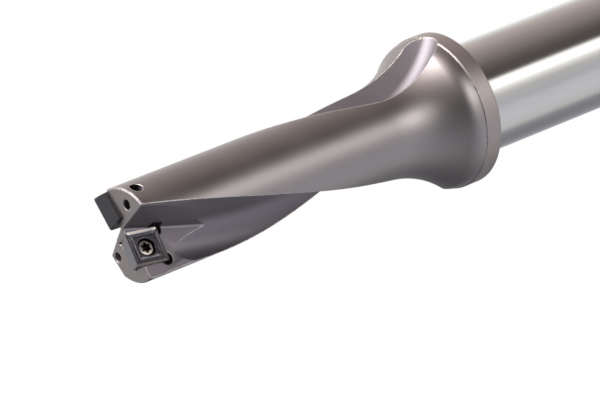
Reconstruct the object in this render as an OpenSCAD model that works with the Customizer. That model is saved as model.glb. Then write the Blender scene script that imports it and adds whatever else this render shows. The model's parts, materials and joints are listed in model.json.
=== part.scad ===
// Indexable drill: a flanged cylindrical shank, a trumpet, a body with two helical flutes,
// and two square inserts held by countersunk screws.
// The shank stands on its end at the origin, the tip points along +Z, and +X runs along the
// central insert's cutting edge. Angles about the axis are counted from +X towards +Y.

/* [Shank] */
// Diameter of the ground shank
shank_d = 25; // [20:0.5:27]
// Length of the shank behind the flange
shank_l = 56; // [45:1:70]
// Chamfer on the end of the shank
shank_chamfer = 1.5; // [0.5:0.1:2.5]
// Depth of the clamping flat under the shank's surface
flat_depth = 1.9; // [1:0.1:3]
// Distance from the flange's back to the near end of the clamping flat
flat_start = 19; // [10:1:26]
// Direction that the clamping flat faces
flat_angle = 295; // [0:5:360]

/* [Flange and trumpet] */
// Diameter of the flange
flange_d = 34.5; // [32:0.5:40]
// Width of the flange's rim
rim_w = 4.2; // [3:0.1:7]
// Chamfer on both edges of the rim
rim_chamfer = 0.25; // [0.1:0.05:0.5]
// Radius of the round shoulder in front of the rim
shoulder_r = 6; // [4:0.5:8]
// Radius of the hollow flare between the shoulder and the body
flare_r = 25; // [15:1:40]

/* [Fluted body] */
// Diameter of the hole that the drill cuts
drill_d = 22; // [21.5:0.1:22.5]
// Diameter of the body behind the inserts
body_d = 21; // [20:0.1:21.4]
// Length from the flange's back face to the body's front face
reach = 89.8; // [80:1:110]
// Helix angle of the flutes at the body's surface
helix_angle = 15.5; // [13:0.25:17]
// Radius of the core between the flutes
core_r = 3.35; // [3:0.05:3.8]
// Width of the flute in front of the central insert, from its middle to its cutting side
central_flute_w = 6.5; // [6:0.1:7]
// Direction of that flute's middle at the front face
central_flute_angle = 55.4; // [52:0.5:58]
// Angle from that flute's middle to the edge of its heel
central_heel = 48; // [44:0.5:52]
// Width of the flute in front of the peripheral insert, from its middle to its cutting side
peripheral_flute_w = 5.3; // [4.8:0.1:5.8]
// Direction of that flute's middle at the front face
peripheral_flute_angle = 244; // [240:0.5:248]
// Angle from that flute's middle to the edge of its heel
peripheral_heel = 31.5; // [28:0.5:34]
// Length over which the flutes rise out at the flange
runout_l = 27; // [22:1:34]
// Distance that the flutes reach into the flange's rim
runout_bite = 1.5; // [0.5:0.1:2.5]
// Easing of the twist along the run-out, where 1 ends it along the axis
runout_ease = 1.5; // [1:0.1:1.7]

/* [Tip notches] */
// Lean of the notch walls to the axis
notch_lean = 17; // [12:0.5:22]
// Fillet between a notch's wall and its floor
notch_fillet = 0.4; // [0.2:0.1:0.8]
// Distance of the central notch's corner from the axis
central_notch_x = 1.85; // [1.6:0.05:2.1]
// Angle between the central notch's floor and its wall
central_notch_open = 92; // [88:1:96]
// Distance of the peripheral notch's corner from the axis
peripheral_notch_x = 2.1; // [1.8:0.05:2.4]
// Angle between the peripheral notch's floor and its wall
peripheral_notch_open = 105; // [101:1:109]
// Chamfer round the body's front edge
front_chamfer = 0.3; // [0.2:0.05:0.5]
// Depth of the chamfer on the lower land's heel
lower_chamfer = 1.75; // [1:0.1:2]
// Direction that the lower land's chamfer faces
lower_chamfer_angle = 273; // [268:1:278]

/* [Inserts] */
// Side of the square inserts
insert_side = 7.9; // [7.5:0.1:8.2]
// Thickness of the inserts
insert_t = 3.8; // [3.4:0.1:4]
// Corner radius of the cutting edge
insert_corner_r = 0.5; // [0.3:0.05:0.8]
// Clearance angle of the insert's flanks
insert_clearance = 11; // [5:1:11]
// Width of the narrow land behind the cutting edges
breaker_land = 0.3; // [0.2:0.05:0.5]
// Width of the slope from the land to the chip breaker's floor
breaker_slope = 0.8; // [0.5:0.05:1]
// Depth of the chip breaker's floor
breaker_depth = 0.4; // [0.2:0.05:0.5]
// Turn of the central insert in its own plane
central_turn = 8.5; // [6:0.5:10]
// Turn of the peripheral insert in its own plane
peripheral_turn = 2.4; // [0:0.2:4]
// Reach of the central insert's inner corner past the axis
central_overlap = 0.7; // [0.5:0.05:0.9]
// Height of the peripheral cutting edge ahead of the centre line
peripheral_ahead = 2.3; // [1.8:0.1:2.6]
// Reach of the cutting corners past the body's front face
insert_lead = 1.5; // [1.2:0.1:1.8]
// Height of the central rake face over its notch floor
central_proud = 0.25; // [0:0.05:0.5]
// Height of the peripheral rake face over its notch floor
peripheral_proud = 1.5; // [1:0.1:1.8]
// Gap between an insert's flanks and its pocket's walls
pocket_gap = 0.05; // [0.02:0.01:0.1]
// Diameter of the relief holes at the pocket's rear corners
pocket_relief_d = 3; // [2.4:0.1:3.4]
// Diameter of the relief grooves along the pocket's seat
seat_relief_d = 0.7; // [0.4:0.1:0.9]

/* [Insert screws] */
// Thread diameter of the screws
screw_d = 2.5; // [2.2:0.1:2.7]
// Diameter of the screw's head
screw_head_d = 3.8; // [3.5:0.1:4.1]
// Included angle of the screw's seat
screw_cone = 60; // [50:5:90]
// Length of the screws
screw_l = 4.7; // [4.5:0.1:5]
// Height of the straight rim of the screw's head
screw_rim = 0.25; // [0.15:0.05:0.4]
// Depth of the head's top under the chip breaker's floor
screw_sink = 0.15; // [0:0.05:0.3]
// Radial gap round the screw in the insert and in its thread
screw_gap = 0.05; // [0.03:0.01:0.15]
// Diameter of the six-lobe socket
socket_d = 2.3; // [1.8:0.1:2.5]
// Depth of the six-lobe socket
socket_depth = 1.1; // [0.7:0.1:1.4]

/* [Coolant] */
// Diameter of the coolant inlet in the shank's end
inlet_d = 8.6; // [6:0.2:10]
// Depth of the coolant inlet
inlet_depth = 12; // [8:1:20]
// Diameter of the channel along the core
channel_d = 3; // [2:0.1:3.6]
// Diameter of the two outlets in the front face
outlet_d = 2.3; // [1.8:0.1:2.4]
// Distance of the outlets from the axis
outlet_r = 7.3; // [7:0.1:7.6]
// Direction of the outlet beside the peripheral insert
upper_outlet_angle = 130; // [126:0.5:134]
// Direction of the outlet beside the central insert
lower_outlet_angle = 284; // [281:0.5:287]
// Distance behind the front face at which the outlets leave the channel
branch_l = 24; // [20:1:30]
// Distance between the two branches along the axis
branch_step = 5; // [3:1:10]

/* [Hidden] */
$fn = 64;

body_r = body_d / 2;
flange_r = flange_d / 2;
rim_z = shank_l + rim_w;
front_z = shank_l + reach;
body_color = [0.62, 0.60, 0.58];
insert_color = [0.24, 0.23, 0.25];
screw_color = [0.40, 0.39, 0.38];

// Slope of the chamfer on the lower land
land_chamfer_slope = 45;

// Cuts run this far past the faces that they open
over = 2;
// Far edge of cuts that are open to the outside
outside = 30;

// Turn of the flutes, in degrees per millimetre along the axis
twist = tan(helix_angle) / body_r * 180 / PI;

// Trumpet: a shoulder arc and a flare arc that touch at one point
shoulder_top_r = flange_r - rim_chamfer;
shoulder_c = [shoulder_top_r - shoulder_r, rim_z];
arc_sum = shoulder_r + flare_r;
flare_z = rim_z + sqrt(pow(arc_sum, 2) - pow(arc_sum - shoulder_top_r + body_r, 2));
flare_c = [body_r + flare_r, flare_z];
arc_turn = atan2(flare_c[1] - shoulder_c[1], flare_c[0] - shoulder_c[0]);
arc_steps = 10;
function on_arc(c, r, a) = [c[0] + r * cos(a), c[1] + r * sin(a)];

// Inserts: offset of the flanks at the seat, the straight height of the edges round the rake
// face and the seat, and the centres of the rake faces
flank_in = insert_t * tan(insert_clearance);
edge_h = 0.05;
corner_reach = insert_side / 2 - insert_corner_r;
function turned_reach(turn) = corner_reach * (cos(turn) + sin(turn)) + insert_corner_r;
central_x = turned_reach(central_turn) - central_overlap;
central_z = front_z + insert_lead - turned_reach(central_turn);
peripheral_x = sqrt(pow(drill_d / 2, 2) - pow(peripheral_ahead, 2)) - turned_reach(peripheral_turn);
peripheral_z = front_z + insert_lead - turned_reach(peripheral_turn);

// Turn of the outlets about their own axes, which keeps their seams off the drill's axis
outlet_seam = 90;

// Screws: the head's top under the rake face, and the cone's depth
screw_top = breaker_depth + screw_sink;
cone_depth = (screw_head_d - screw_d) / 2 / tan(screw_cone / 2);
thread_hole_d = screw_d + 2 * screw_gap;
// Free depth under the central screw's end, and its thread hole's depth under the seat
screw_end_gap = 0.2;
central_hole_l = screw_top + screw_l - insert_t + screw_end_gap;

// Flutes: the groove's section and its path
groove_steps = 10;
body_stations = 24;
runout_stations = 14;
runout_rise = flange_r + rim_chamfer - core_r;
runout_r = (pow(runout_l, 2) + pow(runout_rise, 2)) / 2 / runout_rise;
runout_start = rim_z - runout_bite;
runout_z = runout_start + runout_l;
groove_z = [
    for (i = [0 : runout_stations - 1]) runout_start + runout_l * i / runout_stations,
    for (i = [0 : body_stations]) runout_z + (front_z + over - runout_z) * i / body_stations
];
function into_runout(z) = max(runout_z - z, 0);
function rise(z) = runout_r - sqrt(pow(runout_r, 2) - pow(into_runout(z), 2));
function turned_length(z) = front_z - z - runout_ease * pow(into_runout(z), 2) / 2 / runout_l;

// Section of a flute as [distance from the axis, distance towards the cutting side]: an arc that
// touches the cutting side and the core, and runs into a straight wall past the heel's edge
function flute_section(width, heel) =
    let (
        wall_end = [body_r * cos(heel), -body_r * sin(heel)],
        wall_dir = (wall_end - [core_r, 0]) / norm(wall_end - [core_r, 0]),
        wall_turn = atan2(wall_dir[0], -wall_dir[1]),
        r = width / (1 + (1 - cos(wall_turn)) / sin(wall_turn)),
        arc = [for (i = [0 : groove_steps])
            let (t = 90 - (90 + wall_turn) * i / groove_steps)
            [core_r + r - r * cos(t), width - r + r * sin(t)]]
    )
    concat(arc, [wall_end + over * wall_dir]);

// Ring of a flute's section at height z, closed on the outside, with the run-out's rise
function flute_ring(section, middle, z) =
    let (
        turn = middle - twist * turned_length(z),
        lifted = [for (p = section) [p[0] + rise(z), p[1]]],
        last = lifted[len(lifted) - 1],
        closed = concat([[outside, lifted[0][1]]], lifted, [[outside, last[1]]])
    )
    [for (p = closed) [p[0] * cos(turn) + p[1] * sin(turn), p[0] * sin(turn) - p[1] * cos(turn), z]];

// Solid that a flute's section sweeps along its helix
module flute(width, middle, heel) {
    section = flute_section(width, heel);
    n = len(section) + 2;
    rings = [for (z = groove_z) each flute_ring(section, middle, z)];
    rows = len(groove_z);
    sides = [for (k = [0 : rows - 2], i = [0 : n - 1])
        let (a = k * n + i, b = k * n + (i + 1) % n)
        each [[a, b, b + n], [a, b + n, a + n]]];
    bottom = [for (i = [n - 1 : -1 : 0]) i];
    top = [for (i = [0 : n - 1]) (rows - 1) * n + i];
    polyhedron(rings, concat(sides, [bottom, top]));
}

// Straight notch that opens a flute at the tip: a floor, a leaning wall and a fillet
module notch(open) {
    fillet_at = notch_fillet / tan(open / 2);
    rotate([0, -notch_lean, 0])
    translate([0, 0, -outside])
    linear_extrude(2 * outside)
    difference() {
        polygon([[0, 0], [outside, 0], [outside, outside], [outside / tan(open), outside]]);
        difference() {
            polygon([[0, 0], [fillet_at, 0], [fillet_at, notch_fillet],
                     [fillet_at * cos(open), fillet_at * sin(open)]]);
            translate([fillet_at, notch_fillet]) circle(notch_fillet);
        }
    }
}

// Places for an insert's rake face: the face is the local XY plane, -Y leads and +X is outwards
module at_central() {
    translate([central_x, 0, central_z])
    rotate([-90, 0, 0])
    rotate(-central_turn)
    children();
}

module at_peripheral() {
    rotate(180)
    translate([peripheral_x, peripheral_ahead, peripheral_z])
    rotate([-90, 0, 0])
    rotate(peripheral_turn)
    children();
}

// Screw with a conical head and a plain thread cylinder, larger all round by a gap
module screw_form(gap, above, length) {
    translate([0, 0, -screw_top - screw_rim]) cylinder(h = screw_rim + above, d = screw_head_d + 2 * gap);
    translate([0, 0, -screw_top - screw_rim - cone_depth])
    cylinder(h = cone_depth, d1 = screw_d + 2 * gap, d2 = screw_head_d + 2 * gap);
    translate([0, 0, -screw_top - length]) cylinder(h = length - screw_rim, d = screw_d + 2 * gap);
}

// Pocket for an insert, open to the front and as far outwards as asked, with its thread hole
// and with reliefs beside the walls that it has on its inner (-1) and outer (1) side
module pocket(open_out, hole_l, walls) {
    seat_side = insert_side - 2 * flank_in + 2 * pocket_gap;
    top_side = insert_side + 2 * pocket_gap;
    run = insert_side;
    hull()
    for (out = [0, open_out], ahead = [0, run])
        translate([out, -ahead, -insert_t])
        linear_extrude(insert_t, scale = top_side / seat_side) square(seat_side, center = true);
    for (side = walls) {
        translate([side * corner_reach, corner_reach, -insert_t])
        cylinder(h = insert_t + over, d = pocket_relief_d);
        translate([side * seat_side / 2, seat_side / 2, -insert_t])
        rotate([90, 0, 0])
        cylinder(h = seat_side + run, d = seat_relief_d);
    }
    translate([0, 0, -insert_t - hole_l]) cylinder(h = hole_l + over, d = thread_hole_d);
}

// Revolved outline of the shank, flange, trumpet and body, round the coolant inlet and channel
module blank() {
    shank_r = shank_d / 2;
    inlet_r = inlet_d / 2;
    channel_r = channel_d / 2;
    channel_end = front_z - branch_l + over;
    shoulder = [for (i = [0 : arc_steps]) on_arc(shoulder_c, shoulder_r, arc_turn * i / arc_steps)];
    flare = [for (i = [1 : arc_steps])
        on_arc(flare_c, flare_r, 180 + arc_turn * (1 - i / arc_steps))];
    rotate_extrude()
    polygon(concat(
        [[inlet_r, 0], [shank_r - shank_chamfer, 0], [shank_r, shank_chamfer], [shank_r, shank_l],
         [flange_r - rim_chamfer, shank_l], [flange_r, shank_l + rim_chamfer],
         [flange_r, rim_z - rim_chamfer]],
        shoulder, flare,
        [[body_r, front_z - front_chamfer], [body_r - front_chamfer, front_z],
         [0, front_z], [0, channel_end], [channel_r, channel_end],
         [channel_r, inlet_depth + inlet_r - channel_r], [inlet_r, inlet_depth]]
    ));
}

// Flat chamfer across the lower land's heel
module land_chamfer() {
    rotate(lower_chamfer_angle)
    translate([body_r - lower_chamfer, 0, front_z])
    rotate([0, -land_chamfer_slope, 0])
    translate([0, -outside / 2, -outside / 2])
    cube(outside);
}

// Slanting outlet that branches off the coolant channel at a distance behind the front face
module coolant_outlet(angle, back) {
    slant = atan(outlet_r / back);
    translate([0, 0, front_z - back])
    rotate([0, slant, angle])
    rotate(outlet_seam)
    cylinder(h = back / cos(slant) + over, d = outlet_d);
}

module clamping_flat() {
    rotate(flat_angle)
    translate([shank_d / 2 - flat_depth, -shank_d / 2, -over])
    cube([shank_d, shank_d, shank_l - flat_start + over]);
}

module drill_body() {
    color(body_color)
    difference() {
        blank();
        flute(central_flute_w, central_flute_angle, central_heel);
        flute(peripheral_flute_w, peripheral_flute_angle, peripheral_heel);
        translate([-central_notch_x, -central_proud, front_z]) notch(central_notch_open);
        rotate(180)
        translate([peripheral_notch_x, peripheral_ahead - peripheral_proud, front_z])
        notch(peripheral_notch_open);
        at_central() pocket(0, central_hole_l, [-1, 1]);
        at_peripheral() pocket(outside, outside, [-1]);
        land_chamfer();
        coolant_outlet(upper_outlet_angle, branch_l);
        coolant_outlet(lower_outlet_angle, branch_l + branch_step);
        clamping_flat();
    }
}

// Square insert with tapered flanks, a chip breaker and a countersunk hole
module insert() {
    breaker_top = insert_side - 2 * breaker_land;
    breaker_floor = breaker_top - 2 * breaker_slope;
    color(insert_color)
    difference() {
        hull()
        for (x = [-1, 1], y = [-1, 1])
            for (level = [[-edge_h, corner_reach], [-insert_t, corner_reach - flank_in]])
                translate([x * level[1], y * level[1], level[0]])
                cylinder(h = edge_h, r = insert_corner_r, $fn = 32);
        translate([0, 0, -breaker_depth])
        linear_extrude(breaker_depth, scale = breaker_top / breaker_floor)
        square(breaker_floor, center = true);
        screw_form(screw_gap, over, screw_l + over);
    }
}

// Insert screw with a six-lobe socket
module insert_screw() {
    lobes = 6;
    lobe_d = socket_d / 4;
    color(screw_color)
    difference() {
        screw_form(0, 0, screw_l);
        translate([0, 0, -screw_top - socket_depth])
        linear_extrude(socket_depth + over)
        union() {
            circle(d = socket_d - lobe_d);
            for (i = [0 : lobes - 1])
                rotate(360 / lobes * i) translate([(socket_d - lobe_d) / 2, 0]) circle(d = lobe_d);
        }
    }
}

module central_insert() { at_central() insert(); }
module peripheral_insert() { at_peripheral() insert(); }
module central_insert_screw() { at_central() insert_screw(); }
module peripheral_insert_screw() { at_peripheral() insert_screw(); }

drill_body();
central_insert();
peripheral_insert();
central_insert_screw();
peripheral_insert_screw();
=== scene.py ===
"""Dresses the solids of an indexable drill: fluted body, square inserts, clamp screws and a small studio."""

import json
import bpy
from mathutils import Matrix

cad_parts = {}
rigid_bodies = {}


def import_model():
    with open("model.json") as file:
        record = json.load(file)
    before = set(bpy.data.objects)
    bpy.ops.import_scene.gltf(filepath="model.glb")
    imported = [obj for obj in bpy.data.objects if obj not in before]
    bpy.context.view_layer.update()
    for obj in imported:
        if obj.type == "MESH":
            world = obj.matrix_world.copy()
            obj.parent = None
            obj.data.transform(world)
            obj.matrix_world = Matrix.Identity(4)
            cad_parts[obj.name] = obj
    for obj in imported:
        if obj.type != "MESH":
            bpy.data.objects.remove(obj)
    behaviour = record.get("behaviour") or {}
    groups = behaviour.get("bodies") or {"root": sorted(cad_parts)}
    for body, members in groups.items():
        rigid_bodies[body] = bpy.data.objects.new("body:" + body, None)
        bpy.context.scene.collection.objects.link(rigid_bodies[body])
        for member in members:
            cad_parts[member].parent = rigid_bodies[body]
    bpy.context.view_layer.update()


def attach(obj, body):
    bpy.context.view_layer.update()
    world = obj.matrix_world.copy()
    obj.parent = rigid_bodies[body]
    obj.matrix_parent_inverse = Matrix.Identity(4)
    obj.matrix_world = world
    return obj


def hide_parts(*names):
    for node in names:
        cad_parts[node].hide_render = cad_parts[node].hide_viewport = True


bl_info = {
    "name": "Indexable Drill",
    "version": (1, 0, 0),
    "blender": (4, 5, 0),
    "location": "3D View > Sidebar > Drill",
    "description": "Fluted body, cutting inserts and clamp screws of a short-hole drill, with a studio",
    "category": "Object",
}

from math import atan2, cos, pi, radians, sin, sqrt, tan

import bpy
import numpy as np
from mathutils import Matrix, Vector

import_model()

MM = 0.001


def length(name, millimetres, description):
    """Property for a length that is given in millimetres and kept in metres."""
    return bpy.props.FloatProperty(
        name=name, description=description, default=millimetres * MM, unit="LENGTH"
    )


def angle(name, turn, description):
    """Property for an angle that is given in degrees and kept in radians."""
    return bpy.props.FloatProperty(
        name=name, description=description, default=radians(turn), subtype="ANGLE"
    )


def linear(code):
    """Linear colour of an sRGB hex code."""
    srgb = np.array([int(code[i : i + 2], 16) for i in (1, 3, 5)]) / 255
    return np.where(srgb <= 0.04045, srgb / 12.92, ((srgb + 0.055) / 1.055) ** 2.4).tolist()


def colour(name, code, description):
    """Property for a colour that is given as an sRGB hex code."""
    return bpy.props.FloatVectorProperty(
        name=name, description=description, default=linear(code), subtype="COLOR", min=0, max=1
    )


class DrillSizes(bpy.types.PropertyGroup):
    """Sizes that the dressed pieces share with the solids"""

    shank_d: length("Shank", 25, "Diameter of the ground shank")
    shank_l: length("Shank length", 56, "Length of the shank behind the flange")
    shank_chamfer: length("Shank chamfer", 1.5, "Chamfer on the end of the shank")
    flat_depth: length("Flat depth", 1.9, "Depth of the clamping flat")
    flat_start: length("Flat start", 19, "Distance from the flange to the clamping flat")
    flat_angle: angle("Flat direction", 295, "Direction that the clamping flat faces")
    inlet_d: length("Inlet", 8.6, "Diameter of the coolant inlet inside its thread")
    inlet_depth: length("Inlet depth", 12, "Depth of the coolant inlet")
    inlet_pitch: length("Inlet thread pitch", 1.0, "Distance between the threads of the inlet")
    channel_d: length("Channel", 3, "Diameter of the coolant channel")
    outlet_d: length("Outlets", 2.3, "Diameter of the coolant outlets")
    outlet_r: length("Outlet distance", 7.3, "Distance of the outlets from the axis")
    upper_outlet: angle("Upper outlet", 130, "Direction of the outlet beside the peripheral insert")
    lower_outlet: angle("Lower outlet", 284, "Direction of the outlet beside the central insert")
    branch_l: length("Branch", 24, "Distance behind the front face where the first outlet branches off")
    branch_step: length("Branch step", 5, "Distance between the two branches")
    flange_d: length("Flange", 34.5, "Diameter of the flange")
    rim_w: length("Rim", 4.2, "Width of the flange's rim")
    rim_chamfer: length("Rim chamfer", 0.25, "Chamfer on the rim's edges")
    shoulder_r: length("Shoulder", 6, "Radius of the round shoulder in front of the rim")
    flare_r: length("Flare", 25, "Radius of the hollow flare between shoulder and body")
    body_d: length("Body", 21, "Diameter of the fluted body")
    reach: length("Reach", 89.8, "Length from the flange's back to the front face")
    helix: angle("Helix", 15.5, "Helix angle of the flutes at the body's surface")
    core_r: length("Core", 3.35, "Radius of the core between the flutes")
    central_flute_w: length("Central flute", 6.5, "Central insert's flute from middle to cutting side")
    central_flute: angle("Central flute direction", 55.4, "Direction of its middle at the front face")
    central_heel: angle("Central heel", 48, "Angle from that flute's middle to its heel's edge")
    peripheral_flute_w: length("Peripheral flute", 5.3, "Peripheral insert's flute in the same way")
    peripheral_flute: angle("Peripheral flute direction", 244, "Direction of its middle at the front face")
    peripheral_heel: angle("Peripheral heel", 31.5, "Angle from that flute's middle to its heel's edge")
    runout_l: length("Run-out", 27, "Length over which the flutes rise out at the flange")
    runout_bite: length("Run-out bite", 1.5, "Distance that the flutes reach into the flange's rim")
    runout_ease: bpy.props.FloatProperty(
        name="Run-out ease",
        description="Easing of the twist along the run-out, where 1 ends it along the axis",
        default=1.5,
    )
    notch_lean: angle("Notch lean", 17, "Lean of the notch walls to the axis")
    notch_fillet: length("Notch fillet", 0.4, "Fillet between a notch's wall and its floor")
    central_notch_x: length("Central notch", 1.85, "Distance of the central notch's corner from the axis")
    central_open: angle("Central notch angle", 92, "Angle between the central notch's floor and wall")
    peripheral_notch_x: length("Peripheral notch", 2.1, "Distance of that notch's corner from the axis")
    peripheral_open: angle("Peripheral notch angle", 105, "Angle between that notch's floor and wall")
    front_chamfer: length("Front chamfer", 0.3, "Chamfer round the body's front edge")
    lower_chamfer: length("Lower chamfer", 1.75, "Depth of the chamfer on the lower land's heel")
    lower_chamfer_dir: angle("Lower chamfer direction", 273, "Direction that the lower land's chamfer faces")
    drill_d: length("Hole", 22, "Diameter of the hole that the drill cuts")
    insert_side: length("Insert side", 7.9, "Side of the square inserts")
    insert_t: length("Insert thickness", 3.8, "Thickness of the inserts")
    insert_corner: length("Insert corner", 0.5, "Corner radius of the cutting edge")
    insert_clearance: angle("Clearance", 11, "Clearance angle of the insert's flanks")
    central_turn: angle("Central turn", 8.5, "Turn of the central insert in its own plane")
    peripheral_turn: angle("Peripheral turn", 2.4, "Turn of the peripheral insert in its own plane")
    central_overlap: length("Overlap", 0.7, "Reach of the central insert's inner corner past the axis")
    peripheral_ahead: length("Ahead", 2.3, "Height of the peripheral edge ahead of the centre line")
    insert_lead: length("Lead", 1.5, "Reach of the cutting corners past the front face")
    central_proud: length("Central proud", 0.25, "Height of the central rake face over its notch")
    peripheral_proud: length("Peripheral proud", 1.5, "Height of the peripheral rake face over its notch")
    pocket_gap: length("Pocket gap", 0.05, "Gap between an insert's flanks and its pocket")
    pocket_relief_d: length("Pocket relief", 3, "Diameter of the relief holes at the pocket's rear corners")
    seat_relief_d: length("Seat relief", 0.7, "Diameter of the relief grooves along the pocket's seat")
    groove_depth: length("Chip groove", 0.4, "Depth of the chip groove behind the cutting edge")
    serration_pitch: length("Serration pitch", 0.5, "Distance between the serrations of the chip groove")
    screw_d: length("Screw", 2.5, "Thread diameter of the clamp screws")
    screw_head_d: length("Screw head", 3.8, "Diameter of the screw's head")
    screw_l: length("Screw length", 4.7, "Length of the clamp screws")
    screw_top: length("Screw depth", 0.55, "Depth of the screw's head under the rake face")
    screw_rim: length("Screw rim", 0.25, "Height of the straight rim of the screw's head")
    screw_cone: angle("Screw cone", 60, "Included angle of the screw's seat")
    screw_pitch: length("Screw pitch", 0.45, "Distance between the screw's threads")
    screw_gap: length("Screw gap", 0.05, "Radial gap round the screw")
    socket_d: length("Socket", 2.3, "Diameter of the six-lobe socket")
    socket_depth: length("Socket depth", 1.1, "Depth of the six-lobe socket")


class DrillColours(bpy.types.PropertyGroup):
    """Colours of the drill's finishes"""

    body: colour("Body", "#A39C9B", "Satin nickel plate on the body and flange")
    rim: colour("Rim", "#B6ACA8", "Duller plate on the flange's rim")
    flute: colour("Flutes", "#938D92", "The same plate in the milled flutes and notches")
    # partly bare steel and partly a painted highlight: the bright line painted along the edges
    edge_wear_and_highlight: colour("Worn edges", "#F0E9E0", "Bare steel along the edges")
    shank: colour("Shank", "#D2D0CC", "Ground steel of the shank")
    carbide: colour("Carbide", "#727076", "Coating of the inserts")
    # partly bare metal and partly a painted highlight: on edges, the inserts' side lands and the screws' head
    # rings
    honed_and_highlight: colour("Honed edge", "#B2AAA3", "Bare metal along the cutting edges and on the screws' heads")
    # painted shade: the screws' sockets and the inserts' holes are coloured near black for the shade inside
    # them
    painted_hole_shade: colour("Sockets", "#1C1A1A", "Dull black in the screws' sockets and the inserts' holes")
    screw: colour("Screws", "#46423F", "Blackened steel of the clamp screws")
    floor: colour("Floor", "#F4F4F2", "Paper under the drill")


# Surfaces as grids of points


def solid(grid, loop=False):
    """Points and outward faces of a closed grid of shape (rows, columns, 3).

    Columns close on themselves. The end rows get a flat face each, or the last row runs into the first.
    """
    rows, cols = grid.shape[:2]
    r = np.arange(rows if loop else rows - 1)[:, None] * cols
    c = np.arange(cols)[None, :]
    below = (r + cols) % (rows * cols)
    nxt = (c + 1) % cols
    quads = np.stack([r + c, r + nxt, below + nxt, below + c], -1).reshape(-1, 4)
    points = grid.reshape(-1, 3)
    p = points[quads]
    shell = np.einsum("ij,ij->i", p[:, 0], np.cross(p[:, 1], p[:, 2]) + np.cross(p[:, 2], p[:, 3])).sum()
    ends = [] if loop else [np.arange(cols)[::-1], (rows - 1) * cols + np.arange(cols)]
    for end in ends:
        q = points[end]
        shell += np.einsum("ij,ij->i", np.cross(q[1:-1], q[2:]), np.broadcast_to(q[0], q[2:].shape)).sum()
    faces = quads.tolist() + [end.tolist() for end in ends]
    return points, [face[::-1] for face in faces] if shell < 0 else faces


def make_object(name, points, faces):
    """Object at the origin with the given points and faces."""
    mesh = bpy.data.meshes.new(name)
    mesh.from_pydata(points.tolist(), [], faces)
    mesh.update()
    obj = bpy.data.objects.new(name, mesh)
    bpy.context.scene.collection.objects.link(obj)
    return obj


def shade(mesh, crease):
    """Smooth shading with edges kept sharp where faces meet at more than the crease angle."""
    mesh.shade_smooth()
    mesh.set_sharp_from_angle(angle=crease)


def turn(points, axis, by):
    """Points turned about a main axis by an angle in radians."""
    i, j = {"x": (1, 2), "y": (2, 0), "z": (0, 1)}[axis]
    out = np.array(points, float)
    out[..., i] = cos(by) * points[..., i] - sin(by) * points[..., j]
    out[..., j] = sin(by) * points[..., i] + cos(by) * points[..., j]
    return out


def revolve(radius, height, cols):
    """Grid of a turned surface: each row is a circle of a radius at a height.

    Radius may be one number a row, or a whole array of rows by columns for threads and lobes.
    """
    phi = np.linspace(0, 2 * pi, cols, endpoint=False)
    r = np.broadcast_to(np.asarray(radius).reshape(len(height), -1), (len(height), cols))
    z = np.broadcast_to(np.asarray(height)[:, None], r.shape)
    return np.stack([r * np.cos(phi), r * np.sin(phi), z], -1)


def prism(outline, low, high):
    """Grid of a straight prism over a flat outline of points."""
    flat = np.asarray(outline, float)
    rows = [np.column_stack([flat, np.full(len(flat), z)]) for z in (low, high)]
    return np.stack(rows)


def rod(diameter, low, high, cols=40):
    """Grid of a round rod along Z."""
    return revolve([diameter / 2] * 2, [low, high], cols)


def thread(height, cols, pitch, depth):
    """Depth of a helical thread at each row and column: a triangle wave along the axis, one turn a pitch."""
    phase = np.asarray(height)[:, None] / pitch - np.arange(cols)[None, :] / cols
    return depth * np.abs(2 * (phase % 1) - 1)


def rounded_square(half, corner, straight=64, arc=8):
    """Outline of a square with round corners: quarter circles joined by evenly divided straight sides."""
    a = np.linspace(0, pi / 2, arc)
    quarter = np.arange(4)[:, None] * pi / 2
    sign = sqrt(2) * (half - corner) * np.stack([np.cos(quarter + pi / 4), np.sin(quarter + pi / 4)], -1)
    corners = sign + corner * np.stack([np.cos(a + quarter), np.sin(a + quarter)], -1)
    w = np.linspace(0, 1, straight + 2)[1:-1, None]
    sides = corners[:, -1:] * (1 - w) + np.roll(corners[:, :1], -1, axis=0) * w
    return np.concatenate([corners, sides], axis=1).reshape(-1, 2)


# The drill's own forms

# Past the drill's outline, for cuts that run out of it
FAR = 30 * MM


def trumpet(s):
    """Radius and height along the trumpet: a convex shoulder arc that runs into a hollow flare arc."""
    top = s.flange_d / 2 - s.rim_chamfer
    rim_z = s.shank_l + s.rim_w
    total = s.shoulder_r + s.flare_r
    flare_z = rim_z + sqrt(total**2 - (total - top + s.body_d / 2) ** 2)
    meet = atan2(flare_z - rim_z, s.body_d / 2 + s.flare_r - top + s.shoulder_r)
    a = np.linspace(0, meet, 20)
    b = np.linspace(meet, 0, 40)[1:]
    radius = np.concatenate(
        [top - s.shoulder_r + s.shoulder_r * np.cos(a), s.body_d / 2 + s.flare_r - s.flare_r * np.cos(b)]
    )
    height = np.concatenate([rim_z + s.shoulder_r * np.sin(a), flare_z - s.flare_r * np.sin(b)])
    return radius, height


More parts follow.
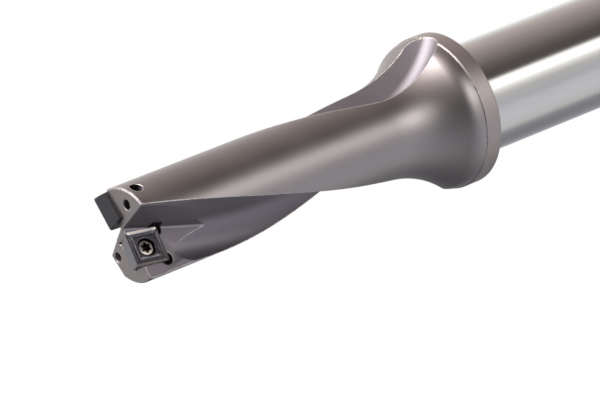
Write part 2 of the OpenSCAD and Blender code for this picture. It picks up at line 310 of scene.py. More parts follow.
def turned_blank(s, cols=240):
    """Grid of the body before milling: coolant channel, threaded inlet, shank, flange, trumpet and body.

    A turned outline from the channel's end to the front edge, with a helical thread cut into the inlet.
    """
    inlet, channel, shank, flange = s.inlet_d / 2, s.channel_d / 2, s.shank_d / 2, s.flange_d / 2
    rim_z, front = s.shank_l + s.rim_w, s.shank_l + s.reach
    cone = s.inlet_depth + inlet - channel
    threaded = np.linspace(s.inlet_depth - MM, MM, 80)
    curve_r, curve_z = trumpet(s)
    body_z = np.linspace(curve_z[-1], front - s.front_chamfer, 30)[1:]
    inner_r = [channel, channel, inlet, inlet]
    inner_z = [front - s.branch_l + 2 * MM, cone, s.inlet_depth, s.inlet_depth - 0.9 * MM]
    mouth_r = [inlet, inlet + 0.6 * MM, shank - s.shank_chamfer, shank, shank, shank + 0.15 * MM]
    mouth_z = [0.7 * MM, 0, 0, s.shank_chamfer, s.shank_l - 0.15 * MM, s.shank_l]
    rim_r = [flange - s.rim_chamfer, flange, flange]
    rim_h = [s.shank_l, s.shank_l + s.rim_chamfer, rim_z - s.rim_chamfer]
    body_r = [s.body_d / 2] * len(body_z) + [s.body_d / 2 - s.front_chamfer]
    radius = np.concatenate([inner_r, np.full_like(threaded, inlet), mouth_r, rim_r, curve_r, body_r])
    height = np.concatenate([inner_z, threaded, mouth_z, rim_h, curve_z, body_z, [front]])
    wide = np.repeat(radius[:, None], cols, axis=1)
    first, depth = len(inner_r), 0.45 * MM
    wide[first : first + len(threaded)] += thread(threaded, cols, s.inlet_pitch, depth)
    return revolve(wide, height, cols)


def flute(s, width, middle, heel):
    """Grid of the solid that a flute's section sweeps along its helix.

    The section is an arc that touches the cutting side and the core, and runs into a straight wall past the
    heel's edge. It turns evenly along the axis, and near the flange it rises on an arc while its twist eases.
    """
    body_r = s.body_d / 2
    start, front = s.shank_l + s.rim_w - s.runout_bite, s.shank_l + s.reach
    end = np.array([body_r * cos(heel), -body_r * sin(heel)])
    wall = (end - [s.core_r, 0]) / np.linalg.norm(end - [s.core_r, 0])
    slope = atan2(wall[0], -wall[1])
    r = width / (1 + (1 - cos(slope)) / sin(slope))
    t = np.linspace(pi / 2, -slope, 44)
    out, side = s.core_r + r - r * np.cos(t), width - r + r * np.sin(t)
    last = np.array([out[-1], side[-1]])
    rest = last + np.linspace(0.125, 1, 8)[:, None] * (end + 2 * MM * wall - last)
    out, side = np.concatenate([out, rest[:, 0]]), np.concatenate([side, rest[:, 1]])
    rise = s.flange_d / 2 + s.rim_chamfer - s.core_r
    arc_r = (s.runout_l**2 + rise**2) / 2 / rise
    z = np.concatenate(
        [np.linspace(start, start + s.runout_l, 70), np.linspace(start + s.runout_l, front + 2 * MM, 90)[1:]]
    )
    back = np.clip(start + s.runout_l - z, 0, None)
    lifted = out[None, :] + (arc_r - np.sqrt(arc_r**2 - back**2))[:, None]
    outer = np.full((len(z), 1), FAR)
    along = np.concatenate([outer, lifted, outer], axis=1)
    across = np.broadcast_to(np.concatenate([side[:1], side, side[-1:]]), along.shape)
    a = (middle - tan(s.helix) / body_r * (front - z - s.runout_ease * back**2 / 2 / s.runout_l))[:, None]
    x = along * np.cos(a) + across * np.sin(a)
    y = along * np.sin(a) - across * np.cos(a)
    return np.stack([x, y, np.broadcast_to(z[:, None], x.shape)], -1)


def notch(s, opening):
    """Grid of a straight notch: a floor, a wall at the opening angle, and a round fillet between them."""
    at = s.notch_fillet / tan(opening / 2)
    a = np.linspace(opening + pi / 2, 1.5 * pi, 12)
    fillet = np.column_stack([at + s.notch_fillet * np.cos(a), s.notch_fillet * (1 + np.sin(a))])
    outline = np.concatenate([fillet, [[FAR, 0], [FAR, FAR], [FAR / tan(opening), FAR]]])
    return turn(prism(outline, -FAR, FAR), "y", -s.notch_lean)


def turned_reach(s, by):
    """Reach of a turned insert's corner from its centre."""
    return (s.insert_side / 2 - s.insert_corner) * (cos(by) + sin(by)) + s.insert_corner


def at_central(points, s):
    """Points on the central insert's rake face moved to their place."""
    reach = turned_reach(s, s.central_turn)
    place = np.array([reach - s.central_overlap, 0, s.shank_l + s.reach + s.insert_lead - reach])
    return turn(turn(points, "z", -s.central_turn), "x", -pi / 2) + place


def at_peripheral(points, s):
    """Points on the peripheral insert's rake face moved to their place."""
    reach = turned_reach(s, s.peripheral_turn)
    edge = sqrt((s.drill_d / 2) ** 2 - s.peripheral_ahead**2)
    place = np.array([edge - reach, s.peripheral_ahead, s.shank_l + s.reach + s.insert_lead - reach])
    return turn(turn(turn(points, "z", s.peripheral_turn), "x", -pi / 2) + place, "z", pi)


def pocket(s, open_out, hole_l, walls):
    """Grids that cut an insert's pocket.

    A tapered box and a thread hole, and for each wall a relief hole and a seat groove.
    """
    flank = s.insert_t * tan(s.insert_clearance)
    low = s.insert_side / 2 - flank + s.pocket_gap
    high = s.insert_side / 2 + s.pocket_gap
    run = s.insert_side
    reach = s.insert_side / 2 - s.insert_corner
    rows = [
        [[-h, h, z], [-h, -h - run, z], [h + open_out, -h - run, z], [h + open_out, h, z]]
        for h, z in ((low, -s.insert_t), (high, 0.02 * MM))
    ]
    groove = turn(rod(s.seat_relief_d, 0, 2 * low + run, 24), "x", pi / 2)
    relief = rod(s.pocket_relief_d, -s.insert_t - 0.01 * MM, 2 * MM)
    hole = rod(s.screw_d + 2 * s.screw_gap, -s.insert_t - hole_l, -s.insert_t + MM)
    cuts = [np.array(rows), hole]
    for side in walls:
        cuts.append(relief + [side * reach, reach, 0])
        cuts.append(groove + [side * low, low, -s.insert_t])
    return cuts


def outlet(s, direction, back):
    """Grid of a slanting coolant outlet that branches off the channel at a distance behind the front face."""
    slant = atan2(s.outlet_r, back)
    hole = rod(s.outlet_d, 0, back / cos(slant) + 2 * MM)
    return turn(turn(hole, "y", slant), "z", direction) + [0, 0, s.shank_l + s.reach - back]


def land_chamfer(s):
    """Grid of a box that cuts the lower land's heel at 45 degrees."""
    half = 15 * MM
    box = prism([[0, -half], [2 * half, -half], [2 * half, half], [0, half]], -half, half)
    place = [s.body_d / 2 - s.lower_chamfer, 0, s.shank_l + s.reach]
    return turn(turn(box, "y", -pi / 4) + place, "z", s.lower_chamfer_dir)


def body_cuts(s):
    """Grids of everything that is milled or drilled out of the turned blank."""
    front = s.shank_l + s.reach
    flat = s.shank_d / 2 - s.flat_depth
    wide = s.shank_d / 2 + MM
    outline = [[flat, -wide], [2 * wide, -wide], [2 * wide, wide], [flat, wide]]
    side = prism(outline, -MM, s.shank_l - s.flat_start)
    through = 20 * MM
    hole_l = s.screw_top + s.screw_l - s.insert_t + 0.2 * MM
    second = notch(s, s.peripheral_open)
    return [
        flute(s, s.central_flute_w, s.central_flute, s.central_heel),
        flute(s, s.peripheral_flute_w, s.peripheral_flute, s.peripheral_heel),
        notch(s, s.central_open) + [-s.central_notch_x, -s.central_proud, front],
        turn(second + [s.peripheral_notch_x, s.peripheral_ahead - s.peripheral_proud, front], "z", pi),
        *[at_central(cut, s) for cut in pocket(s, 0, hole_l, (-1, 1))],
        *[at_peripheral(cut, s) for cut in pocket(s, through, through, (-1,))],
        land_chamfer(s),
        outlet(s, s.upper_outlet, s.branch_l),
        outlet(s, s.lower_outlet, s.branch_l + s.branch_step),
        turn(side, "z", s.flat_angle),
    ]


def insert_surface(s):
    """Grid of an insert: rings from the hole's foot over the rake face, down the flanks and back under it.

    The rake face is a narrow land, a serrated slope into a chip groove, and a raised square round the hole.
    """
    half = s.insert_side / 2
    corner = s.insert_corner
    flank = s.insert_t * tan(s.insert_clearance)
    edge = rounded_square(half, corner)
    round_part = edge / np.linalg.norm(edge, axis=1, keepdims=True)
    hole = s.screw_d / 2 + s.screw_gap
    head = s.screw_head_d / 2 + s.screw_gap
    seat_z = s.screw_top + s.screw_rim
    cone_z = seat_z + (head - hole) / tan(s.screw_cone / 2)
    along = np.where(np.abs(edge[:, 0]) > np.abs(edge[:, 1]), edge[:, 1], edge[:, 0])
    straight = np.clip((half - corner - np.abs(along)) / (0.4 * MM), 0, 1)
    teeth = straight * (0.5 - 0.5 * np.cos(2 * pi * along / s.serration_pitch))
    groove = s.groove_depth
    # inset from the cutting edge, depth, height of the serrations
    face = [
        (1.6 * MM, 0.14 * MM, 0),
        (1.48 * MM, 0.18 * MM, 0),
        (1.3 * MM, groove, 0),
        (1.12 * MM, groove, 0),
        (1.0 * MM, 0.85 * groove, 0.1 * MM),
        (0.86 * MM, 0.62 * groove, 0.14 * MM),
        (0.7 * MM, 0.38 * groove, 0.08 * MM),
        (0.58 * MM, 0.1 * MM, 0.01 * MM),
        (0.05 * MM, 0, 0),
    ]
    under = [(0, 0.05 * MM), (flank * 0.5, s.insert_t * 0.5), (flank, s.insert_t - 0.05 * MM)]
    # radius and depth of the hole's rings
    rings = [
        (hole, s.insert_t),
        (hole, cone_z),
        (head, seat_z),
        (head, 0.3 * MM),
        (head + 0.12 * MM, 0.18 * MM),
    ]
    rows = [np.column_stack([round_part * r, np.full(len(edge), -z)]) for r, z in rings]
    for inset, depth, height in face:
        flat = rounded_square(half - inset, max(corner - inset, 0.12 * MM))
        rows.append(np.column_stack([flat, height * teeth - depth]))
    for inset, depth in under + [(flank + 0.05 * MM, s.insert_t)]:
        flat = rounded_square(half - inset, max(corner - inset, 0.1 * MM))
        rows.append(np.column_stack([flat, np.full(len(edge), -depth)]))
    return np.stack(rows)


def screw_surface(s, cols=96):
    """Grid of a clamp screw: rings from the six-lobe socket's floor over the head and down the thread.

    The socket's radius is a cosine with six lobes, and the thread is a helical triangle wave.
    """
    phi = np.linspace(0, 2 * pi, cols, endpoint=False)
    lobes = s.socket_d / 2 * (0.83 + 0.17 * np.cos(6 * phi))
    head, core, top = s.screw_head_d / 2, s.screw_d / 2, s.screw_top
    cone = top + s.screw_rim + (head - core) / tan(s.screw_cone / 2)
    tail = top + s.screw_l
    floor = top + s.socket_depth
    # radius and depth of each ring
    socket = [
        (0.25 * lobes, floor + 0.25 * MM),
        (0.97 * lobes, floor),
        (lobes, floor - 0.1 * MM),
        (lobes, top + 0.12 * MM),
        (1.05 * lobes + 0.02 * MM, top + 0.03 * MM),
        (1.09 * lobes + 0.03 * MM, top),
    ]
    crown = [
        (head - 0.42 * MM, top + 0.02 * MM),
        (head - 0.28 * MM, top + 0.06 * MM),
        (head, top + 0.22 * MM),
        (head, top + s.screw_rim),
        (core, cone),
    ]
    run = np.linspace(cone + 0.1 * MM, tail - 0.4 * MM, 70)
    foot = [(core - 0.25 * MM, tail - 0.2 * MM), (core - 0.4 * MM, tail)]
    ringed = core - thread(run, cols, s.screw_pitch, 0.24 * MM)
    radius = np.concatenate(
        [np.stack([np.broadcast_to(r, cols) for r, _ in socket + crown]), ringed]
        + [np.stack([np.broadcast_to(r, cols) for r, _ in foot])]
    )
    height = -np.concatenate([[z for _, z in socket + crown], run, [z for _, z in foot]])
    return revolve(radius, height, cols)


# Finishes


def add(tree, kind, inputs=None, **settings):
    """Adds a node, sets its properties, and fills its inputs with values or links.

    A Mix of colours has its share at input 0, its colours at 6 and 7, and its result at output 2.
    """
    node = tree.nodes.new(kind)
    for key, value in settings.items():
        setattr(node, key, value)
    for key, value in (inputs or {}).items():
        if isinstance(value, bpy.types.NodeSocket):
            tree.links.new(value, node.inputs[key])
        else:
            node.inputs[key].default_value = value
    return node


def start_material(name):
    """New material with an empty tree, its shader, and the Object coordinates of its piece."""
    material = bpy.data.materials.new(name)
    material.use_nodes = True
    tree = material.node_tree
    tree.nodes.clear()
    shader = add(tree, "ShaderNodeBsdfPrincipled")
    add(tree, "ShaderNodeOutputMaterial", {"Surface": shader.outputs["BSDF"]})
    return material, tree, shader, add(tree, "ShaderNodeTexCoord").outputs["Object"]


def edge_mask(tree, radius, coords, patch):
    """How far a point lies on a sharp edge, and the rounded normal there.

    The bevelled normal leaves the true normal only near an edge, so their angle is the mask. A noise of the
    given patch size breaks it up.
    """
    bevel = add(tree, "ShaderNodeBevel", {"Radius": radius}, samples=6)
    true = add(tree, "ShaderNodeNewGeometry").outputs["Normal"]
    near = add(tree, "ShaderNodeVectorMath", {0: bevel.outputs[0], 1: true}, operation="DOT_PRODUCT")
    sharp = add(
        tree, "ShaderNodeMapRange", {"Value": near.outputs["Value"], "From Min": 0.99, "From Max": 0.88}
    )
    broken = add(tree, "ShaderNodeTexNoise", {"Vector": coords, "Scale": 1 / patch, "Detail": 3})
    keep = add(tree, "ShaderNodeMapRange", {"Value": broken.outputs[0], "From Min": 0.32, "From Max": 0.5})
    mask = add(tree, "ShaderNodeMath", {0: sharp.outputs[0], 1: keep.outputs[0]}, operation="MULTIPLY")
    return mask.outputs[0], bevel.outputs[0]


def satin_nickel(c):
    """Nickel plate on blasted tool steel: a soft warm sheen with fine grit, cooler in the milled cuts.

    The eye sees broad blurred highlights, and a thin bright line along the edges that is partly bare steel
    and partly a painted highlight.
    """
    material, tree, shader, coords = start_material("satin_nickel_plate")
    cut = add(tree, "ShaderNodeAttribute", attribute_name="milled").outputs["Fac"]
    rim = add(tree, "ShaderNodeAttribute", attribute_name="rim").outputs["Fac"]
    # handling leaves soft cloudy patches about 9 mm across
    cloud = add(tree, "ShaderNodeTexNoise", {"Vector": coords, "Scale": 1 / (9 * MM), "Detail": 4})
    # blasting grit is about 0.05 mm and is drawn at 0.25 mm, because finer grit doesn't show
    grit = add(tree, "ShaderNodeTexNoise", {"Vector": coords, "Scale": 1 / (0.25 * MM), "Detail": 2})
    plain = add(tree, "ShaderNodeMix", {0: cut, 6: (*c.body, 1), 7: (*c.flute, 1)}, data_type="RGBA")
    base = add(tree, "ShaderNodeMix", {0: rim, 6: plain.outputs[2], 7: (*c.rim, 1)}, data_type="RGBA")
    shaded = add(tree, "ShaderNodeMapRange", {"Value": cloud.outputs[0], "To Min": 0.9, "To Max": 1.08})
    toned = add(
        tree, "ShaderNodeVectorMath", {0: base.outputs[2], "Scale": shaded.outputs[0]}, operation="SCALE"
    )
    # painted highlight: the edge mask lays a lighter colour along the edges, partly bare steel under the
    # plate
    edge_wear_and_highlight, rounded = edge_mask(tree, 0.36 * MM, coords, 1.1 * MM)
    skin = add(tree, "ShaderNodeMix", {0: edge_wear_and_highlight, 6: toned.outputs[0], 7: (*c.edge_wear_and_highlight, 1)}, data_type="RGBA")
    rough = add(tree, "ShaderNodeMapRange", {"Value": cloud.outputs[0], "To Min": 0.36, "To Max": 0.46})
    bump = add(
        tree,
        "ShaderNodeBump",
        {"Height": grit.outputs[0], "Normal": rounded, "Strength": 0.12, "Distance": 0.03 * MM},
    )
    either = add(tree, "ShaderNodeMath", {0: rim, 1: cut}, operation="MAXIMUM")
    duller = add(
        tree, "ShaderNodeMath", {0: either.outputs[0], 1: 0.1, 2: rough.outputs[0]}, operation="MULTIPLY_ADD"
    )
    tree.links.new(skin.outputs[2], shader.inputs["Base Color"])
    tree.links.new(duller.outputs[0], shader.inputs["Roughness"])
    tree.links.new(bump.outputs[0], shader.inputs["Normal"])
    shader.inputs["Metallic"].default_value = 1.0
    return material


def ground_steel(c):
    """Cylindrically ground hardened steel: bright, with fine rings from the wheel and faint stains.

    The eye sees nearly sharp light and dark bands along the shank, slightly combed by the rings.
    """
    material, tree, shader, coords = start_material("ground_bright_steel")
    # grinding rings are a few hundredths apart and are drawn 0.2 mm apart, because finer ones don't show
    rings = add(tree, "ShaderNodeMapping", {"Vector": coords, "Scale": (60, 60, 1 / (0.2 * MM))})
    comb = add(tree, "ShaderNodeTexNoise", {"Vector": rings.outputs[0], "Scale": 1.0, "Detail": 3})
    # stains from handling are about 6 mm across and drawn out along the shank
    drawn = add(tree, "ShaderNodeMapping", {"Vector": coords, "Scale": (1, 1, 0.25)})
    stain = add(tree, "ShaderNodeTexNoise", {"Vector": drawn.outputs[0], "Scale": 1 / (6 * MM), "Detail": 3})
    shaded = add(tree, "ShaderNodeMapRange", {"Value": stain.outputs[0], "To Min": 0.88, "To Max": 1.05})
    toned = add(
        tree, "ShaderNodeVectorMath", {0: c.shank, "Scale": shaded.outputs[0]}, operation="SCALE"
    )
    # painted highlight: the edge mask lays a lighter colour along the shank's edges, partly bare steel
    edge_wear_and_highlight, rounded = edge_mask(tree, 0.2 * MM, coords, 1.5 * MM)
    skin = add(tree, "ShaderNodeMix", {0: edge_wear_and_highlight, 6: toned.outputs[0], 7: (*c.edge_wear_and_highlight, 1)}, data_type="RGBA")
    rough = add(tree, "ShaderNodeMapRange", {"Value": comb.outputs[0], "To Min": 0.1, "To Max": 0.2})
    bump = add(
        tree,
        "ShaderNodeBump",
        {"Height": comb.outputs[0], "Normal": rounded, "Strength": 0.06, "Distance": 0.01 * MM},
    )
    tree.links.new(skin.outputs[2], shader.inputs["Base Color"])
    tree.links.new(rough.outputs[0], shader.inputs["Roughness"])
    tree.links.new(bump.outputs[0], shader.inputs["Normal"])
    shader.inputs["Metallic"].default_value = 1.0
    return material


def coated_carbide(c):
    """Cemented carbide with a dark nitride coat: slightly grainy, with edges and lands painted lighter,
    partly bare carbide from honing and partly a painted highlight.
    """
    material, tree, shader, coords = start_material("nitride_coated_carbide")
    # sintered grain is drawn at 0.15 mm so that it shows
    grain = add(tree, "ShaderNodeTexNoise", {"Vector": coords, "Scale": 1 / (0.15 * MM), "Detail": 2})
    shaded = add(tree, "ShaderNodeMapRange", {"Value": grain.outputs[0], "To Min": 0.8, "To Max": 1.15})
    toned = add(
        tree, "ShaderNodeVectorMath", {0: c.carbide, "Scale": shaded.outputs[0]}, operation="SCALE"
    )
    # painted highlight: the edges and the land get the lighter edge colour, fully along the insert's sides
    edge_wear_and_highlight, rounded = edge_mask(tree, 0.04 * MM, coords, 0.5 * MM)
    land = add(tree, "ShaderNodeAttribute", attribute_name="land").outputs["Fac"]
    bright = add(tree, "ShaderNodeMath", {0: edge_wear_and_highlight, 1: land}, operation="MAXIMUM")
    skin = add(
        tree, "ShaderNodeMix", {0: bright.outputs[0], 6: toned.outputs[0], 7: (*c.honed_and_highlight, 1)}, data_type="RGBA"
    )
    # painted shade: the hole and counterbore round the screw are coloured near black
    inside = add(tree, "ShaderNodeAttribute", attribute_name="painted_hole_shade").outputs["Fac"]
    hole_shaded = add(tree, "ShaderNodeMix", {0: inside, 6: skin.outputs[2], 7: (*c.painted_hole_shade, 1)}, data_type="RGBA")
    rough = add(tree, "ShaderNodeMapRange", {"Value": grain.outputs[0], "To Min": 0.16, "To Max": 0.26})
    bump = add(
        tree,
        "ShaderNodeBump",
        {"Height": grain.outputs[0], "Normal": rounded, "Strength": 0.1, "Distance": 0.02 * MM},
    )
    tree.links.new(hole_shaded.outputs[2], shader.inputs["Base Color"])
    tree.links.new(rough.outputs[0], shader.inputs["Roughness"])
    tree.links.new(bump.outputs[0], shader.inputs["Normal"])
    shader.inputs["Metallic"].default_value = 0.85
    return material


def blackened_screw(c):
    """Blackened alloy steel: dark satin turned metal, with the edges of its head and lobes and the flat ring
    round the socket painted lighter, partly bare metal and partly a painted highlight.
    """
    material, tree, shader, coords = start_material("blackened_screw_steel")
    # turning marks are drawn as 0.12 mm grain so that they show on so small a head
    marks = add(tree, "ShaderNodeTexNoise", {"Vector": coords, "Scale": 1 / (0.12 * MM), "Detail": 2})
    shaded = add(tree, "ShaderNodeMapRange", {"Value": marks.outputs[0], "To Min": 0.8, "To Max": 1.2})
    toned = add(
        tree, "ShaderNodeVectorMath", {0: c.screw, "Scale": shaded.outputs[0]}, operation="SCALE"
    )
    # painted highlight: the flat ring round the socket and the edges get the lighter colour, partly bare
    # metal
    edge_wear_and_highlight, rounded = edge_mask(tree, 0.05 * MM, coords, 0.6 * MM)
    rubbed_and_highlight = add(tree, "ShaderNodeAttribute", attribute_name="rubbed_and_highlight").outputs["Fac"]
    bright = add(tree, "ShaderNodeMath", {0: edge_wear_and_highlight, 1: rubbed_and_highlight}, operation="MAXIMUM")
    skin = add(
        tree, "ShaderNodeMix", {0: bright.outputs[0], 6: toned.outputs[0], 7: (*c.honed_and_highlight, 1)}, data_type="RGBA"
    )
    # painted shade: the six-lobe socket is coloured near black
    inside = add(tree, "ShaderNodeAttribute", attribute_name="painted_hole_shade").outputs["Fac"]
    hole_shaded = add(tree, "ShaderNodeMix", {0: inside, 6: skin.outputs[2], 7: (*c.painted_hole_shade, 1)}, data_type="RGBA")
    rough = add(tree, "ShaderNodeMapRange", {"Value": marks.outputs[0], "To Min": 0.24, "To Max": 0.4})
    tree.links.new(hole_shaded.outputs[2], shader.inputs["Base Color"])
    tree.links.new(rough.outputs[0], shader.inputs["Roughness"])
    tree.links.new(rounded, shader.inputs["Normal"])
    shader.inputs["Metallic"].default_value = 1.0
    return material


# Pieces

# Rings between which an insert's hole and a screw's socket have their faces, painted dark as shade, and an
# insert's land and a screw's crown, which carry a painted highlight
HOLE_SHADE_RINGS, LAND_RINGS = (0, 4), (12, 13)
SOCKET_SHADE_RINGS, CROWN_RINGS = (0, 3), (5, 7)


def mark_rows(mesh, name, first, last, cols, part=1):
    """Marks the faces between two rings of a piece's grid, or a part of each row, in a face attribute."""
    marked = np.zeros(len(mesh.polygons), np.float32)
    marked[first * cols : last * cols].reshape(-1, cols)[:] = part
    mesh.attributes.new(name, "FLOAT", "FACE").data.foreach_set("value", marked)


def finish_piece(obj, node, material):
    """Puts a piece in the place of its solid, with its finish."""
    obj.data.materials.append(material)
    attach(obj, "root")
    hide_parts(node)


class DRILL_OT_body(bpy.types.Operator):
    """Makes the turned blank and mills the flutes, notches, pockets and coolant holes out of it"""

    bl_idname = "drill.body"
    bl_label = "Fluted Body"

    def execute(self, context):
        s, c = context.scene.drill_sizes, context.scene.drill_colours
        body = make_object("fluted_body", *solid(turned_blank(s)))
        cutters = bpy.data.collections.new("cutters")
        context.scene.collection.children.link(cutters)
        for grid in body_cuts(s):
            tool = make_object("cutter", *solid(grid))
            context.scene.collection.objects.unlink(tool)
            cutters.objects.link(tool)
        milling = body.modifiers.new("milling", "BOOLEAN")
        milling.operand_type = "COLLECTION"
        milling.collection = cutters
        milling.solver = "EXACT"
        blank = body.data
        milled = bpy.data.meshes.new_from_object(body.evaluated_get(context.evaluated_depsgraph_get()))
        body.modifiers.clear()
        body.data = milled
        bpy.data.meshes.remove(blank)
        for tool in list(cutters.objects):
            bpy.data.meshes.remove(tool.data)
        bpy.data.collections.remove(cutters)
        milled.name = "fluted_body"
        milled.materials.clear()
        shade(milled, crease=radians(20))
        finish_piece(body, "drill_body", satin_nickel(c))
        milled.materials.append(ground_steel(c))
        self.mark_faces(milled, s)
        return {"FINISHED"}

    def mark_faces(self, mesh, s):
        """Gives the shank its own finish, and marks the rim and the faces milled inside the outline.

        The margins are there because the middle of a flat facet lies a little inside the round.
        """
        count = len(mesh.polygons)
        centre = np.empty(count * 3, np.float32)
        mesh.polygons.foreach_get("center", centre)
        x, y, z = centre.reshape(-1, 3).T
        r = np.hypot(x, y)
        curve_r, curve_z = trumpet(s)
        outline = np.interp(z, curve_z, curve_r)
        inside = (z > s.shank_l + s.rim_w - s.runout_bite) & (r < outline - 0.03 * MM)
        milled = inside & (z < s.shank_l + s.reach - 0.01 * MM)
        shank = (z < s.shank_l - 0.01 * MM) & (r < s.shank_d / 2 + 0.1 * MM)
        mesh.polygons.foreach_set("material_index", shank.astype(np.int32))
        rim = (z > s.shank_l) & (z < s.shank_l + s.rim_w) & (r > s.flange_d / 2 - 0.05 * MM)
        for name, marked in (("milled", milled), ("rim", rim)):
            mesh.attributes.new(name, "FLOAT", "FACE").data.foreach_set("value", marked.astype(np.float32))


class DRILL_OT_inserts(bpy.types.Operator):
    """Makes the two square inserts with their serrated chip grooves"""

    bl_idname = "drill.inserts"
    bl_label = "Cutting Inserts"

    def execute(self, context):
        s = context.scene.drill_sizes
        carbide = coated_carbide(context.scene.drill_colours)
        grid = insert_surface(s)
        # the lands along the sides get the lighter edge colour in full as a painted highlight, those at the
        # front and rear only a fifth of it
        cols = grid.shape[1]
        sides = np.where(np.arange(cols) // (cols // 4) % 2 == 1, 1, 0.2)
        for name, place, node in (
            ("central_cutting_insert", at_central, "central_insert"),
            ("peripheral_cutting_insert", at_peripheral, "peripheral_insert"),
        ):
            piece = make_object(name, *solid(place(grid, s), loop=True))
            shade(piece.data, crease=radians(28))
            finish_piece(piece, node, carbide)
            # the hole's faces are marked for the painted shade
            mark_rows(piece.data, "painted_hole_shade", *HOLE_SHADE_RINGS, cols)
            # the land is marked for its painted highlight
            mark_rows(piece.data, "land", *LAND_RINGS, cols, sides)
        return {"FINISHED"}


class DRILL_OT_screws(bpy.types.Operator):
    """Makes the two clamp screws with six-lobe sockets and threads"""

    bl_idname = "drill.screws"
    bl_label = "Clamp Screws"

    def execute(self, context):
        s = context.scene.drill_sizes
        steel = blackened_screw(context.scene.drill_colours)
        grid = screw_surface(s)
        for name, place, node in (
            ("central_clamp_screw", at_central, "central_insert_screw"),
            ("peripheral_clamp_screw", at_peripheral, "peripheral_insert_screw"),
        ):
            piece = make_object(name, *solid(place(grid, s)))
            shade(piece.data, crease=radians(28))
            finish_piece(piece, node, steel)
            # the socket's faces are marked for the painted shade
            mark_rows(piece.data, "painted_hole_shade", *SOCKET_SHADE_RINGS, grid.shape[1])
            # the head's flat ring is marked for its painted highlight
            mark_rows(piece.data, "rubbed_and_highlight", *CROWN_RINGS, grid.shape[1])
        return {"FINISHED"}


# Tints of the studio's light
PLAIN, WARM, COOL = (1, 1, 1), (1.14, 1, 0.97), (0.97, 0.98, 1.09)

# The studio round the drill: direction in degrees from +X towards +Y, strength at three heights, and tint
STUDIO = [
    (-180, 0.52, 0.45, 0.9, WARM), (-165, 0.62, 0.55, 0.9, WARM), (-150, 0.85, 0.7, 0.9, PLAIN),
    (-140, 1.1, 0.9, 0.9, PLAIN), (-112, 1.3, 0.7, 0.75, PLAIN), (-100, 0.8, 0.5, 0.75, PLAIN),
    (-88, 0.5, 0.35, 0.6, COOL), (-73, 0.38, 0.16, 0.4, COOL), (-57, 0.31, 0.13, 0.25, COOL),
    (-41, 0.3, 0.2, 0.2, COOL), (-25, 0.38, 0.28, 0.25, COOL), (-14, 0.75, 0.5, 0.4, PLAIN),
    (10, 0.85, 0.62, 0.45, COOL), (28, 0.82, 0.66, 0.36, COOL), (42, 0.66, 0.72, 0.2, COOL),
    (60, 0.7, 1.0, 0.1, PLAIN), (71, 1.15, 2.2, 0.08, PLAIN), (77, 1.9, 3.9, 0.08, PLAIN),
    (92, 1.9, 3.9, 0.1, PLAIN), (97, 0.09, 0.1, 0.12, WARM), (112, 0.11, 0.1, 0.3, WARM),
    (128, 0.17, 0.13, 0.7, WARM), (143, 0.28, 0.25, 1.4, WARM), (160, 0.38, 0.38, 1.3, WARM),
    (180, 0.52, 0.45, 0.9, WARM),
]  # fmt: skip

# Colours of a ramp stay under one, so the studio's ramps hold this part of the strength
SHARE = 0.25

# Where the middle and upper strengths take over: their column, and two heights as the sine of the elevation
LEVELS = ((2, -0.46, -0.26), (3, -0.1, 0.2))


def studio_ring(tree, along, level):
    """Ring of soft boxes and dark screens: the strength of one level of the studio by direction."""
    ramp = add(tree, "ShaderNodeValToRGB", {"Fac": along})
    stops = ramp.color_ramp.elements
    # a new ramp has a stop at each end, and keeps its stops in order
    for row in STUDIO[1:-1]:
        stops.new((row[0] + 180) / 360)
    for stop, row in zip(stops, STUDIO):
        stop.color = (*[SHARE * row[level] * band for band in row[-1]], 1)
    return ramp.outputs["Color"]


def studio_world(world):
    """Soft boxes and dark screens round the drill, by direction, and plain white where the camera looks."""
    world.use_nodes = True
    tree = world.node_tree
    tree.nodes.clear()
    way = add(tree, "ShaderNodeTexCoord").outputs["Generated"]
    x, y, z = add(tree, "ShaderNodeSeparateXYZ", {0: way}).outputs
    bearing = add(tree, "ShaderNodeMath", {0: y, 1: x}, operation="ARCTAN2")
    along = add(
        tree, "ShaderNodeMapRange", {"Value": bearing.outputs[0], "From Min": -pi, "From Max": pi}
    ).outputs[0]
    walls = studio_ring(tree, along, 1)
    for level, low, high in LEVELS:
        lift = add(tree, "ShaderNodeMapRange", {"Value": z, "From Min": low, "From Max": high})
        ring = studio_ring(tree, along, level)
        blend = add(tree, "ShaderNodeMix", {0: lift.outputs[0], 6: walls, 7: ring}, data_type="RGBA")
        walls = blend.outputs[2]
    # straight down lies the drill's own shade on the floor
    floor_shade = 0.25
    below = add(
        tree,
        "ShaderNodeMapRange",
        {"Value": z, "From Min": -0.7, "From Max": -0.9, "To Min": 1 / SHARE, "To Max": floor_shade / SHARE},
    )
    shaded = add(tree, "ShaderNodeVectorMath", {0: walls, "Scale": below.outputs[0]}, operation="SCALE")
    # overhead, the studio is dim
    dim = (0.2, 0.2, 0.2, 1)
    above = add(tree, "ShaderNodeMapRange", {"Value": z, "From Min": 0.6, "From Max": 0.78})
    light = add(
        tree, "ShaderNodeMix", {0: above.outputs[0], 6: shaded.outputs[0], 7: dim}, data_type="RGBA"
    )
    studio = add(tree, "ShaderNodeBackground", {"Color": light.outputs[2], "Strength": 1.0})
    white = add(tree, "ShaderNodeBackground", {"Color": (1, 1, 1, 1), "Strength": 1.0})
    seen = add(tree, "ShaderNodeLightPath").outputs["Is Camera Ray"]
    both = add(tree, "ShaderNodeMixShader", {0: seen, 1: studio.outputs[0], 2: white.outputs[0]})
    add(tree, "ShaderNodeOutputWorld", {"Surface": both.outputs[0]})


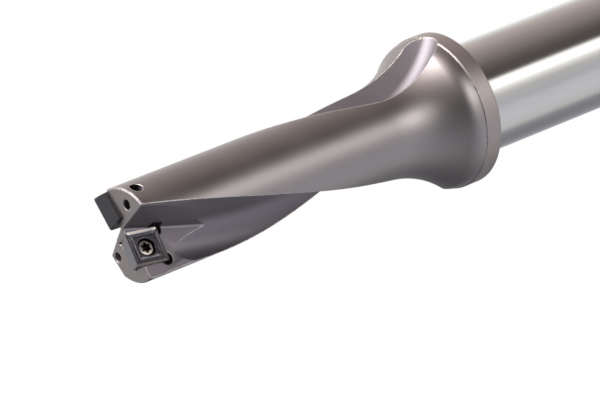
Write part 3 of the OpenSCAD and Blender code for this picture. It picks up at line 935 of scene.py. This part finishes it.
def white_paper(c):
    """Matte white paper: almost white to the camera, with a soft shadow, and clear from below."""
    material = bpy.data.materials.new("matte_white_paper")
    material.use_nodes = True
    tree = material.node_tree
    tree.nodes.clear()
    paper = add(tree, "ShaderNodeBsdfDiffuse", {"Color": (*c.floor, 1)})
    glow = add(tree, "ShaderNodeEmission", {"Color": (1, 1, 1, 1), "Strength": 1.0})
    seen = add(tree, "ShaderNodeLightPath").outputs["Is Camera Ray"]
    share = add(tree, "ShaderNodeMath", {0: seen, 1: 0.97}, operation="MULTIPLY")
    both = add(tree, "ShaderNodeMixShader", {0: share.outputs[0], 1: paper.outputs[0], 2: glow.outputs[0]})
    clear = add(tree, "ShaderNodeBsdfTransparent")
    under = add(tree, "ShaderNodeNewGeometry").outputs["Backfacing"]
    sided = add(tree, "ShaderNodeMixShader", {0: under, 1: both.outputs[0], 2: clear.outputs[0]})
    add(tree, "ShaderNodeOutputMaterial", {"Surface": sided.outputs[0]})
    return material


class DRILL_OT_stage(bpy.types.Operator):
    """Makes the paper floor, the studio light and the camera"""

    bl_idname = "drill.stage"
    bl_label = "Studio"

    def execute(self, context):
        scene = context.scene
        half, cells = 2, 8
        row = cells + 1
        u = np.linspace(-half, half, row)
        x, y = np.meshgrid(u, u)
        points = np.stack([x, y, np.full_like(x, -0.05 * MM)], -1).reshape(-1, 3)
        corner = (np.arange(cells)[:, None] * row + np.arange(cells)).ravel()[:, None]
        floor = make_object("paper_floor", points, (corner + [0, 1, row + 1, row]).tolist())
        floor.data.materials.append(white_paper(scene.drill_colours))
        floor.visible_glossy = False
        scene.world = bpy.data.worlds.new("studio")
        studio_world(scene.world)
        lamp = bpy.data.lights.new("overhead_softbox", "AREA")
        lamp.energy, lamp.shape, lamp.size = 24.0, "DISK", 1.3
        overhead = bpy.data.objects.new("overhead_softbox", lamp)
        aim, toward, distance = Vector((0, 0, 0.14)), Vector((-0.8, 0.19, 0.57)), 1.4
        overhead.location = aim + distance * toward
        overhead.rotation_euler = toward.to_track_quat("Z", "Y").to_euler()
        scene.collection.objects.link(overhead)
        lens = bpy.data.cameras.new("long_lens")
        lens.lens, lens.sensor_width, lens.clip_start, lens.clip_end = 300, 36, 0.05, 20
        camera = bpy.data.objects.new("long_lens", lens)
        eye = (0.22939, 0.84246, 0.71137)
        right = (0.49708, 0.41781, -0.76049)
        up = (-0.84205, 0.44384, -0.30653)
        back = (0.20946, 0.79274, 0.57244)
        facing = Matrix((right, up, back)).transposed().to_4x4()
        camera.matrix_world = Matrix.Translation(eye) @ facing
        scene.collection.objects.link(camera)
        scene.camera = camera
        scene.view_settings.view_transform = "Standard"
        return {"FINISHED"}


class DRILL_PT_panel(bpy.types.Panel):
    """Lists the drill's pieces, sizes and colours"""

    bl_idname = "DRILL_PT_panel"
    bl_label = "Indexable Drill"
    bl_space_type = "VIEW_3D"
    bl_region_type = "UI"
    bl_category = "Drill"

    def draw(self, context):
        for operator in OPERATORS:
            self.layout.operator(operator.bl_idname)
        for group in (context.scene.drill_sizes, context.scene.drill_colours):
            column = self.layout.column(align=True)
            for name in group.__annotations__:
                column.prop(group, name)


OPERATORS = (DRILL_OT_body, DRILL_OT_inserts, DRILL_OT_screws, DRILL_OT_stage)
CLASSES = (DrillSizes, DrillColours, *OPERATORS, DRILL_PT_panel)


def register():
    for cls in CLASSES:
        bpy.utils.register_class(cls)
    bpy.types.Scene.drill_sizes = bpy.props.PointerProperty(type=DrillSizes)
    bpy.types.Scene.drill_colours = bpy.props.PointerProperty(type=DrillColours)


def unregister():
    del bpy.types.Scene.drill_colours
    del bpy.types.Scene.drill_sizes
    for cls in reversed(CLASSES):
        bpy.utils.unregister_class(cls)


def main():
    register()
    bpy.ops.drill.body()
    bpy.ops.drill.inserts()
    bpy.ops.drill.screws()
    bpy.ops.drill.stage()


if __name__ == "__main__":
    main()
